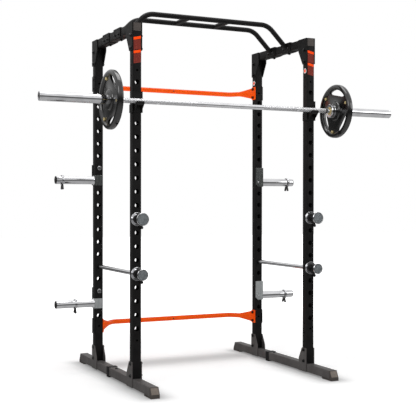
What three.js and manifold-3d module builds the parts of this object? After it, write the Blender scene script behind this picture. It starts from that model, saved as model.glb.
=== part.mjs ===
// Power cage with a pull-up bar, storage pegs, safety rods, J-cups and a loaded barbell.
// Millimetres. +X runs along the barbell, to the right as seen from the front of the cage,
// +Y to the back, +Z up.
// The origin is on the floor, midway between the four uprights.
import * as THREE from 'three';
import { mergeVertices } from 'three/addons/utils/BufferGeometryUtils.js';
import Module from 'manifold-3d';

const wasm = await Module();
wasm.setup();

// ---------- driving dimensions ----------
const gap = 0.3;                  // clearance between touching pieces

const tube = 50;                  // square tube, outside
const wall = 2.5;                 // square tube wall
const frameX = 555;               // centre plane of each side frame
const uprightY = 320;             // front and rear uprights, from the middle

const railLength = 1224;          // base rail with its end caps
const railBottom = 8;             // the feet lift the rail by this much
const railTop = railBottom + tube;
const capLength = 22;             // moulded end cap beyond the tube
const capSlope = { run: 20, drop: 41 };
const padLength = 95;             // foot pad under each rail end
const midFootWidth = 36;          // collar round the middle of a rail

const beamBottom = 1958;
const beamTop = beamBottom + tube;
const beamLength = 2 * uprightY + tube;

const holePitch = 75;
const holeCount = 19;
const firstHole = 332;            // height of the lowest adjusting hole
const holeRadius = 13.5;
const smallHoleRadius = 6;
const boltHoleRadius = 4.6;
const holeHeight = (number) => firstHole + holePitch * number;

const gusset = 5;                 // gusset plate thickness

const braceHeights = { lower: 268, upper: 1746 };
const boltOffset = 28;            // brace bolts above and below the brace's axis
const braceTube = 15;             // radius
// The brace's middle runs behind the uprights. From each plate a flattened flare leads back
// at an angle to a bend; places are [distance from the cage's middle, distance behind the uprights].
const braceFoot = [525.7, 8];
const braceFlareEnd = [462, 79];
const braceBend = [415, 131];
const braceBendLength = 22;
const braceFlare = { halfDepth: 14, halfHeight: 37 };
const bracePlate = { thickness: 5, depth: 45, height: 84 };
const bolt = { radius: 4, headRadius: 8, headEnd: 8, nutHeight: 7, tail: 2, pocketRadius: 10, pocket: 26 };

const pullUp = { height: 2114, radius: 15, spread: 95, bendX: 400, bendRadius: 110, gripX: 130 };
const saddle = { length: 110, thickness: 4, flange: 50 };

const barHeight = 1574;
const barY = -372;
const shaftRadius = 14;
const shaftHalf = 668;            // half the distance between the collars
const collar = { radius: 40, width: 30 };
const sleeveRadius = 25;
const barHalf = 1110;
const plateSize = { radius: 160, rimWidth: 27, rimDepth: 36, webDepth: 14, hubRadius: 58, bore: 25.9 };
const gripHole = { outer: 130, chord: 94, halfAngle: 0.64, halfChord: 56 };

const jCup = { pinHole: 16, bottom: 1514, top: 1630, lipY: -400, lipTop: 1571, width: 44, plate: 5 };

const peg = { radius: 24, bore: 21.5, reach: 264, drop: 75, plate: 4, pinRadius: 12.1 };
const clip = { inner: 25.2, outer: 31, width: 16, leverRadius: 7, leverLength: 36, splay: 0.4 };

const rodRadius = 12.2;
const spool = { flange: 37, flangeWidth: 5, neck: 15, length: 88, rim: 8, cone: 26 };
const lockArm = { thickness: 6, hubRadius: 24, width: 16, length: 50, drop: 36, lean: 0.48 };
const spoolHoles = { safety: 4, upper: 8 };
const pegHoles = { lower: 2, upper: 12 };

// ---------- colours ----------
const paint = (color, roughness, metalness) =>
  new THREE.MeshStandardMaterial({ color, roughness, metalness });
const blackSteel = paint(0x2a2828, 0.55, 0.3);
const orangeSteel = paint(0xf04a0c, 0.45, 0.1);
const blackPlastic = paint(0x1b1a1a, 0.6, 0);
const blackRubber = paint(0x222120, 0.7, 0);
const chrome = paint(0xc9cbcd, 0.15, 1);
const zinc = paint(0xa9aca8, 0.35, 0.9);
const boltSteel = paint(0x141414, 0.4, 0.6);

// ---------- solids ----------
function solid(geometry) {
  const bare = geometry.index ? geometry.toNonIndexed() : geometry.clone();
  bare.deleteAttribute('normal');
  bare.deleteAttribute('uv');
  const merged = mergeVertices(bare, 1e-4);
  return new wasm.Manifold(new wasm.Mesh({
    numProp: 3,
    vertProperties: new Float32Array(merged.attributes.position.array),
    triVerts: new Uint32Array(merged.index.array),
  }));
}

function toGeometry(manifold) {
  const mesh = manifold.getMesh();
  const geometry = new THREE.BufferGeometry();
  geometry.setAttribute('position', new THREE.BufferAttribute(mesh.vertProperties, 3));
  geometry.setIndex(new THREE.BufferAttribute(mesh.triVerts, 1));
  return geometry;
}

const join = (first, ...others) => others.reduce((sum, next) => sum.add(next), first);
const cut = (first, ...others) => others.reduce((rest, next) => rest.subtract(next), first);

function box(x, y, z) {
  const size = [x, y, z].map(([low, high]) => high - low);
  const middle = [x, y, z].map(([low, high]) => (low + high) / 2);
  return solid(new THREE.BoxGeometry(...size).translate(...middle));
}

// A cylinder or cone that runs along X or Y between two stations.
function rod(axis, [from, to], radius, { at = [0, 0], sides = 12, endRadius = radius } = {}) {
  const geometry = new THREE.CylinderGeometry(endRadius, radius, to - from, sides);
  geometry.rotateY(Math.PI / sides);
  geometry.translate(0, (from + to) / 2, 0);
  if (axis === 'x') geometry.rotateZ(-Math.PI / 2).translate(0, at[0], at[1]);
  if (axis === 'y') geometry.translate(at[0], 0, at[1]);
  return solid(geometry);
}

// A flat plate in the YZ plane, given as [y, z] corners, between two values of x.
function sidePlate(corners, [from, to]) {
  const outline = new THREE.Shape(corners.map(([y, z]) => new THREE.Vector2(y, z)));
  const geometry = new THREE.ExtrudeGeometry(outline, { depth: to - from, bevelEnabled: false });
  geometry.applyMatrix4(new THREE.Matrix4().makeBasis(
    new THREE.Vector3(0, 1, 0), new THREE.Vector3(0, 0, 1), new THREE.Vector3(1, 0, 0)));
  return solid(geometry.translate(from, 0, 0));
}

// A solid of revolution about X: the profile is a list of [x, radius] that closes on itself.
function turned(profile, sides) {
  const points = profile.map(([x, radius]) => new THREE.Vector2(radius, x));
  const geometry = new THREE.LatheGeometry(points, sides);
  geometry.rotateY(Math.PI / sides);
  return solid(geometry.rotateZ(-Math.PI / 2));
}

// A skin through convex rings of points, closed at both ends.
function loft(rings) {
  const count = rings[0].length;
  const faces = [];
  for (let row = 0; row + 1 < rings.length; row += 1) {
    for (let i = 0; i < count; i += 1) {
      const a = row * count + i;
      const b = row * count + (i + 1) % count;
      faces.push(a, b + count, b, a, a + count, b + count);
    }
  }
  const last = (rings.length - 1) * count;
  for (let i = 1; i + 1 < count; i += 1) {
    faces.push(0, i, i + 1, last, last + i + 1, last + i);
  }
  const geometry = new THREE.BufferGeometry();
  geometry.setAttribute('position', new THREE.Float32BufferAttribute(rings.flat(2), 3));
  geometry.setIndex(faces);
  return solid(geometry);
}

const half = tube / 2;
const squareTube = {
  x: [-half, half],
  bore: [-half + wall, half - wall],
};

// ---------- base rails ----------
// Gusset plates stand on both sides of every corner; outline is [distance towards the
// middle of the cage from the upright's outer face, height].
const lowerGusset = [[0, 9], [0, 150], [48, 150], [83, 85], [87, 9]];
const upperGusset = [[0, 1854], [47, 1854], [95, 1940], [95, beamTop], [0, beamTop]];

function gussets(outline) {
  const plates = [];
  for (const end of [-1, 1]) {
    const corners = outline.map(([inward, z]) => [end * (uprightY + half - inward), z]);
    if (end > 0) corners.reverse();
    plates.push(sidePlate(corners, [half - 0.5, half + gusset]));
    plates.push(sidePlate(corners, [-half - gusset, -half + 0.5]));
  }
  return plates;
}

// Room for the two uprights that stand between the gusset plates.
function uprightSpaces(z) {
  const room = half + gap;
  return [-uprightY, uprightY].map((y) => box([-room, room], [y - room, y + room], z));
}

function baseRail() {
  const end = railLength / 2 - capLength - gap;
  const outside = box(squareTube.x, [-end, end], [railBottom, railTop]);
  const inside = box(squareTube.bore, [-end - 1, end + 1], [railBottom + wall, railTop - wall]);
  const plates = join(...gussets(lowerGusset));
  const cleared = cut(plates, ...uprightSpaces([railTop, 400]), inside);
  return join(cut(outside, inside), cleared);
}

// End cap with its foot pad. Built for the front end of a rail.
function endCap() {
  const front = -railLength / 2;
  const seam = front + capLength;
  const side = [
    [front, 0], [front + padLength, 0], [front + padLength + 8, railBottom - gap],
    [seam, railBottom - gap], [seam, railTop], [front + capSlope.run, railTop],
    [front, railTop - capSlope.drop],
  ];
  const plugRoom = half - wall - 0.5;
  const plug = box([-plugRoom, plugRoom], [seam - 1, seam + 35],
    [railBottom + wall + 0.5, railTop - wall - 0.5]);
  return join(sidePlate(side, [-half, half]), plug);
}

function midFoot() {
  const inner = half + gap;
  const outer = inner + 3;
  const y = [-midFootWidth / 2, midFootWidth / 2];
  const sleeve = box([-outer, outer], y, [0, railTop + gap + 3]);
  return cut(sleeve, box([-inner, inner], [y[0] - 1, y[1] + 1], [railBottom - gap, railTop + gap]));
}

// ---------- uprights ----------
function upright() {
  const z = [railTop + gap, beamBottom - gap];
  const outside = box(squareTube.x, squareTube.x, z);
  const inside = box(squareTube.bore, squareTube.bore, [z[0] - 1, z[1] + 1]);
  const across = [-half - 1, half + 1];
  const holes = [];
  for (let number = 0; number < holeCount; number += 1) {
    holes.push(rod('y', across, holeRadius, { at: [0, holeHeight(number)], sides: 8 }));
  }
  for (const height of Object.values(braceHeights)) {
    holes.push(rod('y', across, smallHoleRadius, { at: [0, height], sides: 6 }));
    for (const offset of [-boltOffset, boltOffset]) {
      holes.push(rod('x', across, boltHoleRadius, { at: [0, height + offset], sides: 6 }));
    }
  }
  return cut(outside, inside, join(...holes));
}

// ---------- top beams ----------
function topBeam() {
  const end = beamLength / 2;
  const outside = box(squareTube.x, [-end, end], [beamBottom, beamTop]);
  const inside = box(squareTube.bore, [-end - 1, end + 1], [beamBottom + wall, beamTop - wall]);
  const plates = join(...gussets(upperGusset));
  const cleared = cut(plates, ...uprightSpaces([1500, beamBottom]), inside);
  return join(cut(outside, inside), cleared);
}

// ---------- rear braces ----------
function brace() {
  const reach = frameX - half - gap;
  const plateFrom = reach - bracePlate.thickness;
  const at = ([x, y]) => new THREE.Vector2(x, y);
  const corner = at(braceBend);
  const inward = corner.clone().sub(at(braceFoot)).normalize();
  const along = new THREE.Vector2(-1, 0);
  const before = corner.clone().addScaledVector(inward, -braceBendLength);
  const after = corner.clone().addScaledVector(along, braceBendLength);
  const turn = before.clone().add(after).multiplyScalar(0.5).add(corner).multiplyScalar(0.5);
  const tubeSize = [braceTube, braceTube];
  const right = [
    [at(braceFoot), along, [braceFlare.halfDepth, braceFlare.halfHeight]],
    [at(braceFlareEnd), inward, tubeSize],
    [before, inward, tubeSize],
    [turn, inward.clone().add(along).normalize(), tubeSize],
    [after, along, tubeSize],
  ];
  const left = right.map(([place, way, size]) =>
    [new THREE.Vector2(-place.x, place.y), new THREE.Vector2(way.x, -way.y), size]).reverse();
  const rings = [...right, ...left].map(([place, way, [depth, height]]) => {
    const ring = [];
    for (let i = 0; i < 12; i += 1) {
      const angle = (i + 0.5) * Math.PI / 6;
      const across = depth * Math.cos(angle);
      ring.push([place.x + way.y * across, place.y - way.x * across, height * Math.sin(angle)]);
    }
    return ring;
  });
  const parts = [loft(rings)];
  for (const end of [-1, 1]) {
    const plateX = end > 0 ? [plateFrom, reach] : [-reach, -plateFrom];
    parts.push(box(plateX, [-bracePlate.depth / 2, bracePlate.depth / 2],
      [-bracePlate.height / 2, bracePlate.height / 2]));
  }
  const pockets = [];
  for (const offset of [-boltOffset, boltOffset]) {
    const where = { at: [0, offset], sides: 8 };
    for (const end of [-1, 1]) {
      const pocket = [end * plateFrom, end * (plateFrom - bolt.pocket)].sort((a, b) => a - b);
      const through = [end * (plateFrom - 1), end * (reach + 1)].sort((a, b) => a - b);
      pockets.push(rod('x', pocket, bolt.pocketRadius, where));
      pockets.push(rod('x', through, boltHoleRadius, where));
    }
  }
  return cut(join(...parts), ...pockets);
}

// Bolt through a rear upright and the brace's plate. Built for the right side: the head is
// outside the upright and the nut is in the flare's pocket.
function braceBolt() {
  const plateFrom = -half - gap - bracePlate.thickness;
  const nutEnd = plateFrom - bolt.nutHeight;
  return join(
    rod('x', [half + gap, half + bolt.headEnd], bolt.headRadius, { sides: 6 }),
    rod('x', [nutEnd - bolt.tail, half + 1], bolt.radius, { sides: 6 }),
    rod('x', [nutEnd, plateFrom - gap], bolt.headRadius, { sides: 6 }),
  );
}

// ---------- pull-up bar ----------
function pullUpTube() {
  const { height, bendX, bendRadius, radius } = pullUp;
  const foot = frameX - half + 40;
  const tangent = bendRadius * Math.tan(Math.PI / 8);
  const slope = Math.SQRT1_2;
  const path = new THREE.CurvePath();
  const at = (x, z) => new THREE.Vector3(x, 0, z);
  const corner = (side) => at(side * bendX, height);
  const before = (side) => at(side * (bendX - tangent), height);
  const after = (side) => at(side * (bendX + tangent * slope), height - tangent * slope);
  const end = (side) => at(side * foot, height - (foot - bendX));
  path.add(new THREE.LineCurve3(end(-1), after(-1)));
  path.add(new THREE.QuadraticBezierCurve3(after(-1), corner(-1), before(-1)));
  path.add(new THREE.LineCurve3(before(-1), before(1)));
  path.add(new THREE.QuadraticBezierCurve3(before(1), corner(1), after(1)));
  path.add(new THREE.LineCurve3(after(1), end(1)));
  const ring = new THREE.Shape();
  ring.absarc(0, 0, radius, 0, 2 * Math.PI);
  const geometry = new THREE.ExtrudeGeometry(ring, { steps: 32, curveSegments: 4, extrudePath: path });
  const meets = frameX - half - saddle.thickness - 2 * gap;
  return solid(geometry).intersect(box([-meets, meets], [-50, 50], [1000, 3000]));
}

function pullUpGrip() {
  const { spread, radius } = pullUp;
  const grip = rod('y', [-spread, spread], radius - 0.5, { sides: 8 });
  const room = [-spread, spread].map(
    (y) => rod('x', [-2 * radius, 2 * radius], radius + gap, { at: [y, 0], sides: 16 }));
  return cut(grip, ...room);
}

// Bracket over the top beam that carries one foot of a pull-up tube.
function saddleBracket() {
  const inner = half + gap;
  const outer = inner + saddle.thickness;
  const y = [-saddle.length / 2, saddle.length / 2];
  const shell = box([-outer, outer], y, [beamTop - saddle.flange, beamTop + gap + saddle.thickness]);
  return cut(shell, box([-inner, inner], [y[0] - 1, y[1] + 1], [beamTop - 80, beamTop + gap]));
}

// ---------- J-cups ----------
// Origin on the front upright's axis, at floor level.
function jCupBracket() {
  const face = -half - gap;
  const front = face - jCup.plate;
  const outer = half + gap + jCup.plate;
  const lipY = jCup.lipY + uprightY;
  const seat = barHeight - shaftRadius - gap;
  const pinHeight = holeHeight(jCup.pinHole);
  const wide = [-jCup.width / 2, jCup.width / 2];
  const channel = cut(
    box([-outer, outer], [front, 18], [jCup.bottom, seat]),
    box([-half - gap, half + gap], [face, 30], [jCup.bottom - 1, seat + 1]),
  );
  const backPlate = box([-outer, outer], [front, face], [jCup.bottom, jCup.top]);
  const hook = [
    [front + 1, seat - 9], [front + 1, seat + 8], [front - 4, seat + 2], [front - 12, seat],
    [lipY + 15, seat], [lipY + 7, seat + 3], [lipY + 5, jCup.lipTop], [lipY, jCup.lipTop],
    [lipY, seat], [lipY + 10, seat - 9],
  ];
  const cheek = [
    [front + 1, seat - 46], [front + 1, seat - 5], [lipY + 10, seat - 5], [lipY + 12, seat - 12],
  ];
  const tray = sidePlate([...hook].reverse(), wide);
  const cheeks = [[wide[0], wide[0] + 5], [wide[1] - 5, wide[1]]].map(
    (x) => sidePlate(cheek, x));
  const pin = rod('y', [face - 1, half + 12], rodRadius, { at: [0, pinHeight], sides: 8 });
  return join(channel, backPlate, tray, ...cheeks, pin);
}

// ---------- barbell ----------
const shaft = () => rod('x', [-shaftHalf + gap, shaftHalf - gap], shaftRadius);

// Built for the right side, x measured from the middle of the bar.
function sleeve() {
  const inner = shaftHalf;
  const outer = shaftHalf + collar.width;
  return turned([
    [inner, 0], [inner, collar.radius - 3], [inner + 3, collar.radius], [outer - 3, collar.radius],
    [outer, collar.radius - 3], [outer, sleeveRadius], [barHalf - 2, sleeveRadius],
    [barHalf, sleeveRadius - 2], [barHalf, 0],
  ], 16);
}

// One grip opening of a weight plate, centred on the +Y side of the plate.
function gripOpening(turn) {
  const { outer, chord, halfAngle, halfChord } = gripHole;
  const path = new THREE.Shape();
  path.absarc(0, 0, outer, -halfAngle, halfAngle, false);
  path.quadraticCurveTo(chord + 4, halfChord + 18, chord, halfChord);
  path.lineTo(chord, -halfChord);
  path.quadraticCurveTo(chord + 4, -halfChord - 18,
    outer * Math.cos(halfAngle), -outer * Math.sin(halfAngle));
  const geometry = new THREE.ExtrudeGeometry(path, { depth: 80, bevelEnabled: false, curveSegments: 3 });
  geometry.applyMatrix4(new THREE.Matrix4().makeBasis(
    new THREE.Vector3(0, 1, 0), new THREE.Vector3(0, 0, 1), new THREE.Vector3(1, 0, 0)));
  geometry.translate(-20, 0, 0).rotateX(turn);
  return solid(geometry);
}

// The plate's inner face is at x = 0. spokes is the direction of the first spoke.
function weightPlate(spokes) {
  const { radius, rimWidth, rimDepth, webDepth, hubRadius, bore } = plateSize;
  const inner = radius - rimWidth;
  const webFrom = (rimDepth - webDepth) / 2;
  const webTo = webFrom + webDepth;
  const disc = turned([
    [0, bore], [0, hubRadius], [webFrom, hubRadius + 6], [webFrom, inner - 3], [0, inner + 4],
    [0, radius - 8], [7, radius], [rimDepth - 7, radius], [rimDepth, radius - 8],
    [rimDepth, inner + 4], [webTo, inner - 3], [webTo, hubRadius + 6], [rimDepth, hubRadius],
    [rimDepth, bore], [0, bore],
  ], 24);
  const third = 2 * Math.PI / 3;
  const openings = [0.5, 1.5, 2.5].map((step) => gripOpening(spokes + step * third));
  return cut(disc, ...openings);
}

// ---------- storage pegs ----------
// Origin on the pin's axis in the upright's centre plane; the peg points to -X.
function storagePeg() {
  const face = half + gap;
  const back = face + peg.plate;
  const band = [-peg.drop - 30, -peg.drop + 30];
  const pinPlate = box([-30, half], [face, back], [-peg.drop - 28, 20]);
  const wrap = cut(
    box([-back, 20], [-back, back], band),
    box([-face, 40], [-face, face], [band[0] - 1, band[1] + 1]),
  );
  const pin = rod('y', [-half - 6, face + 1], peg.pinRadius, { at: [0, 0], sides: 8 });
  const tubeSolid = rod('x', [-peg.reach, -back + 1], peg.radius, { at: [0, -peg.drop] });
  const bore = rod('x', [-peg.reach - 1, -back - 10], peg.bore, { at: [0, -peg.drop] });
  return cut(join(pinPlate, wrap, pin, tubeSolid), bore);
}

// Moulded plug in the end of a storage peg, in the peg's own frame.
function pegCap() {
  return join(
    rod('x', [-peg.reach - 5, -peg.reach - gap], peg.radius - 0.3, { at: [0, -peg.drop] }),
    rod('x', [-peg.reach - 1, -peg.reach + 16], peg.bore - 1.2, { at: [0, -peg.drop] }),
  );
}

// Spring clip: a coil round the peg with two gripped levers that hang below it.
function springClip() {
  const coil = rod('x', [-clip.width / 2, clip.width / 2], clip.outer);
  const levers = [-1, 1].map((side) => {
    const lever = new THREE.CylinderGeometry(clip.leverRadius, clip.leverRadius, clip.leverLength, 8);
    lever.rotateX(Math.PI / 2 + side * clip.splay).translate(side * 2.5, side * 15, -39);
    return solid(lever);
  });
  return cut(join(coil, ...levers), rod('x', [-clip.width, clip.width], clip.inner));
}

// ---------- safety rods and spool pegs ----------
// Origin on the rod's axis at the front upright's centre plane; +Y runs to the back.
function spooledRod(rodEnd, rimRadius) {
  const face = -half - gap;
  const flangeFront = face - spool.flangeWidth;
  const tip = face - spool.length;
  const neckEnd = tip + spool.rim + spool.cone;
  return join(
    rod('y', [face - 1, rodEnd], rodRadius, { sides: 8 }),
    rod('y', [flangeFront, face], spool.flange),
    rod('y', [neckEnd - 1, flangeFront + 1], spool.neck),
    rod('y', [tip + spool.rim, neckEnd], rimRadius, { endRadius: spool.neck }),
    rod('y', [tip, tip + spool.rim], rimRadius),
  );
}

// Flat lever that turns on the rod's neck, just in front of its flange.
function lockLever() {
  const back = -half - gap - spool.flangeWidth - gap;
  const front = back - lockArm.thickness;
  const hub = rod('y', [front, back], lockArm.hubRadius);
  const arm = new THREE.BoxGeometry(lockArm.width, lockArm.thickness, lockArm.length);
  arm.translate(0, (front + back) / 2, -lockArm.drop).rotateY(-lockArm.lean);
  const bore = rod('y', [front - 1, back + 1], spool.neck + 2 * gap);
  return cut(join(hub, solid(arm)), bore);
}

// ---------- the assembly ----------
const cage = new THREE.Group();

function place(parent, name, shape, material, position = [0, 0, 0], rotation = [0, 0, 0]) {
  const mesh = new THREE.Mesh(toGeometry(shape), material);
  mesh.name = name;
  mesh.position.set(...position);
  mesh.rotation.set(...rotation);
  parent.add(mesh);
}

const sides = { left: -1, right: 1 };
const midFootPlaces = { left: 61, right: 134 };
const pegTurn = { left: 0, right: Math.PI };
const clipPlaces = { left_upper: 225, left_lower: 145, right_upper: 225, right_lower: 207 };
const plateSpokes = { left: 1.19, right: 0.72 };
const spoolRims = { safety: 31, upper: 35 };
const rodEnds = { safety: 2 * uprightY + half - 5, upper: half + 8 };

for (const [side, sign] of Object.entries(sides)) {
  const frame = new THREE.Group();
  frame.position.x = sign * frameX;
  cage.add(frame);

  place(frame, `${side}_base_rail`, baseRail(), blackSteel);
  place(frame, `${side}_front_end_cap`, endCap(), blackPlastic);
  place(frame, `${side}_rear_end_cap`, endCap(), blackPlastic, [0, 0, 0], [0, 0, Math.PI]);
  place(frame, `${side}_mid_foot`, midFoot(), blackPlastic, [0, midFootPlaces[side], 0]);
  place(frame, `${side}_front_upright`, upright(), blackSteel, [0, -uprightY, 0]);
  place(frame, `${side}_rear_upright`, upright(), blackSteel, [0, uprightY, 0]);
  place(frame, `${side}_top_beam`, topBeam(), blackSteel);
  place(frame, `${side}_front_saddle`, saddleBracket(), blackSteel, [0, -pullUp.spread, 0]);
  place(frame, `${side}_rear_saddle`, saddleBracket(), blackSteel, [0, pullUp.spread, 0]);
  place(frame, `${side}_j_cup`, jCupBracket(), blackSteel, [0, -uprightY, 0]);

  for (const [level, height] of Object.entries(braceHeights)) {
    for (const [end, offset] of [['top', boltOffset], ['bottom', -boltOffset]]) {
      place(frame, `${side}_${level}_brace_${end}_bolt`, braceBolt(), boltSteel,
        [0, uprightY, height + offset], [0, 0, sign > 0 ? 0 : Math.PI]);
    }
  }

  for (const [level, hole] of Object.entries(pegHoles)) {
    const holder = new THREE.Group();
    holder.position.set(0, uprightY, holeHeight(hole));
    holder.rotation.z = pegTurn[side];
    frame.add(holder);
    place(holder, `${side}_${level}_storage_peg`, storagePeg(), zinc);
    place(holder, `${side}_${level}_peg_cap`, pegCap(), blackPlastic);
    place(holder, `${side}_${level}_spring_clip`, springClip(), chrome,
      [-clipPlaces[`${side}_${level}`], 0, -peg.drop]);
  }

  for (const [kind, hole] of Object.entries(spoolHoles)) {
    const name = kind === 'safety' ? `${side}_safety_rod` : `${side}_spool_peg`;
    const at = [0, -uprightY, holeHeight(hole)];
    place(frame, name, spooledRod(rodEnds[kind], spoolRims[kind]), chrome, at);
    place(frame, `${name}_lever`, lockLever(), blackPlastic, at);
  }
}

for (const [level, height] of Object.entries(braceHeights)) {
  place(cage, `${level}_rear_brace`, brace(), orangeSteel, [0, uprightY, height]);
}

place(cage, 'front_pull_up_tube', pullUpTube(), blackSteel, [0, -pullUp.spread, 0]);
place(cage, 'rear_pull_up_tube', pullUpTube(), blackSteel, [0, pullUp.spread, 0]);
for (const [side, sign] of Object.entries(sides)) {
  place(cage, `${side}_pull_up_grip`, pullUpGrip(), blackSteel,
    [sign * pullUp.gripX, 0, pullUp.height]);
}

const barbell = new THREE.Group();
barbell.position.set(0, barY, barHeight);
cage.add(barbell);
place(barbell, 'barbell_shaft', shaft(), chrome);
for (const [side, sign] of Object.entries(sides)) {
  const turn = [0, 0, sign > 0 ? 0 : Math.PI];
  const inside = sign * (shaftHalf + collar.width + gap);
  place(barbell, `${side}_sleeve`, sleeve(), chrome, [0, 0, 0], turn);
  const spokes = sign > 0 ? plateSpokes.right : Math.PI - plateSpokes.left;
  place(barbell, `${side}_weight_plate`, weightPlate(spokes), blackRubber, [inside, 0, 0], turn);
}

export default cage;
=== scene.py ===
import math

import bmesh
import bpy
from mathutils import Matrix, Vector


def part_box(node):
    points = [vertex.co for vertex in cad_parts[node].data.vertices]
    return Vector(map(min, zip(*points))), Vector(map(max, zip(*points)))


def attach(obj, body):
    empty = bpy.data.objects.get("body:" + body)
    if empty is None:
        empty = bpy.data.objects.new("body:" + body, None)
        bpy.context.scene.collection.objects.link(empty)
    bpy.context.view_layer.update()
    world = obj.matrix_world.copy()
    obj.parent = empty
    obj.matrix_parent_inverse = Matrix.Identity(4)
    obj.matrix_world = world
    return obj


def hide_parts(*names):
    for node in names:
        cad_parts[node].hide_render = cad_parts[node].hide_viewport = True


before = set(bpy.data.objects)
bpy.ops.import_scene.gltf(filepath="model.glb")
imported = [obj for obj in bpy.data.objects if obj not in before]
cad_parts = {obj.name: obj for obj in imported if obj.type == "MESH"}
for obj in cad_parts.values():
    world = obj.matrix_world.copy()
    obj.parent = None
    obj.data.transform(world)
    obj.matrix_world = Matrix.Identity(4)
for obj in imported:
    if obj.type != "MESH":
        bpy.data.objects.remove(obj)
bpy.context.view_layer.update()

# Pieces are drawn in millimetres and made in metres. The camera, the floor, the lights and the
# sizes inside the materials are in metres throughout.
MM = 0.001
scene = bpy.context.scene

# ---------- camera ----------
camera_data = bpy.data.cameras.new("camera")
camera_data.sensor_width = 36.0
camera_data.lens = 78.66
camera = bpy.data.objects.new("camera", camera_data)
scene.collection.objects.link(camera)
scene.camera = camera
camera.location = (-2.350, -4.993, 1.0263)
camera.rotation_euler = (math.radians(90 - 0.382), math.radians(-0.068), math.radians(-25.574))
scene.view_settings.view_transform = "Standard"

# ---------- where the CAD pieces are ----------
def span(node):
    """Low and high ends of a CAD piece along x, y and z."""
    low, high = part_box(node)
    return [(low[i] / MM, high[i] / MM) for i in range(3)]


def middle(node):
    return [sum(pair) / 2 for pair in span(node)]


SIDES = {"left": -1, "right": 1}
CAGE = "cage_frame"
TUBE, WALL = 50.0, 2.5              # square tube of the cage
HALF = TUBE / 2
GAP = 0.3                           # clearance between pieces that touch
FRAME_X = middle("right_front_upright")[0]
UPRIGHT_Y = middle("right_rear_upright")[1]
UPRIGHT_Z = span("right_rear_upright")[2]
RAIL_Z = (8.0, 58.0)
BEAM_Z = (1958.0, 2008.0)
RAIL_END = span("left_base_rail")[1][1]
BEAM_END = span("left_top_beam")[1][1]
CAP_FRONT = span("left_front_end_cap")[1][0]
FIRST_HOLE, HOLE_PITCH, HOLE_COUNT = 332.0, 75.0, 19
HOLES = [FIRST_HOLE + HOLE_PITCH * number for number in range(HOLE_COUNT)]
BRACES = {"lower": middle("lower_rear_brace")[2], "upper": middle("upper_rear_brace")[2]}
BRACE_BOLT = 28.0                   # height of a brace's bolts above and below its middle
PULL_UP_RADIUS = 15.0
PULL_UP_Y = middle("rear_pull_up_tube")[1]
PULL_UP_Z = span("rear_pull_up_tube")[2][1] - PULL_UP_RADIUS
SADDLE = 4.3                        # how far the saddles stand off the beam
BAR = middle("barbell_shaft")

# ---------- materials ----------
def tint(code):
    """Linear colour of a six-digit sRGB code."""
    parts = [int(code[i:i + 2], 16) / 255 for i in (0, 2, 4)]
    return [c / 12.92 if c <= 0.04045 else ((c + 0.055) / 1.055) ** 2.4 for c in parts] + [1.0]


class Graph:
    """A material's node tree, with short ways to add and join nodes.

    add() takes a socket by its name, or by its number after the letter s.
    """

    def __init__(self, name):
        self.material = bpy.data.materials.new(name)
        self.material.use_nodes = True
        self.tree = self.material.node_tree
        self.shader = self.tree.nodes["Principled BSDF"]

    def add(self, kind, settings=None, **sockets):
        node = self.tree.nodes.new("ShaderNode" + kind)
        for key, value in (settings or {}).items():
            setattr(node, key, value)
        for key, value in sockets.items():
            place = int(key[1:]) if key[1:].isdigit() else key
            self.feed(node.inputs[place], value)
        return node

    def feed(self, socket, value):
        if isinstance(value, bpy.types.NodeSocket):
            self.tree.links.new(value, socket)
        else:
            socket.default_value = value

    def math(self, operation, a, b=0.0):
        return self.add("Math", {"operation": operation}, s0=a, s1=b).outputs[0]

    def mix(self, factor, a, b):
        node = self.add("Mix", {"data_type": "RGBA"})
        self.feed(node.inputs[0], factor)
        self.feed(node.inputs[6], a)
        self.feed(node.inputs[7], b)
        return node.outputs[2]

    def ramp(self, value, low, high, to_low=0.0, to_high=1.0):
        return self.add("MapRange", None, s0=value, s1=low, s2=high, s3=to_low, s4=to_high).outputs[0]

    def noise(self, place, scale, detail=3.0):
        return self.add("TexNoise", None, Vector=place, Scale=scale, Detail=detail).outputs[0]

    def bump(self, height, distance, normal=None):
        node = self.add("Bump", None, Height=height, Distance=distance)
        if normal is not None:
            self.tree.links.new(normal, node.inputs["Normal"])
        return node.outputs[0]


def surface(name, dark, light, rough, metallic=0.0, blotch=14.0, grains=(), stretch=(1, 1, 1),
            specular=0.5):
    """A finish with two slightly different colours, uneven gloss and a fine grain."""
    g = Graph(name)
    place = g.add("TexCoord").outputs["Object"]
    place = g.add("Mapping", None, Vector=place, Scale=stretch).outputs[0]
    cloud = g.noise(place, blotch, 5.0)
    g.feed(g.shader.inputs["Base Color"], g.mix(g.ramp(cloud, 0.35, 0.65), tint(dark), tint(light)))
    patches = g.noise(place, blotch * 4.1, 4.0)
    g.feed(g.shader.inputs["Roughness"], g.ramp(patches, 0.3, 0.7, rough[0], rough[1]))
    normal = None
    for scale, height in grains:
        normal = g.bump(g.noise(place, scale, 2.0), height, normal)
    if normal is not None:
        g.tree.links.new(normal, g.shader.inputs["Normal"])
    g.shader.inputs["Metallic"].default_value = metallic
    g.shader.inputs["Specular IOR Level"].default_value = specular
    return g.material


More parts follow.
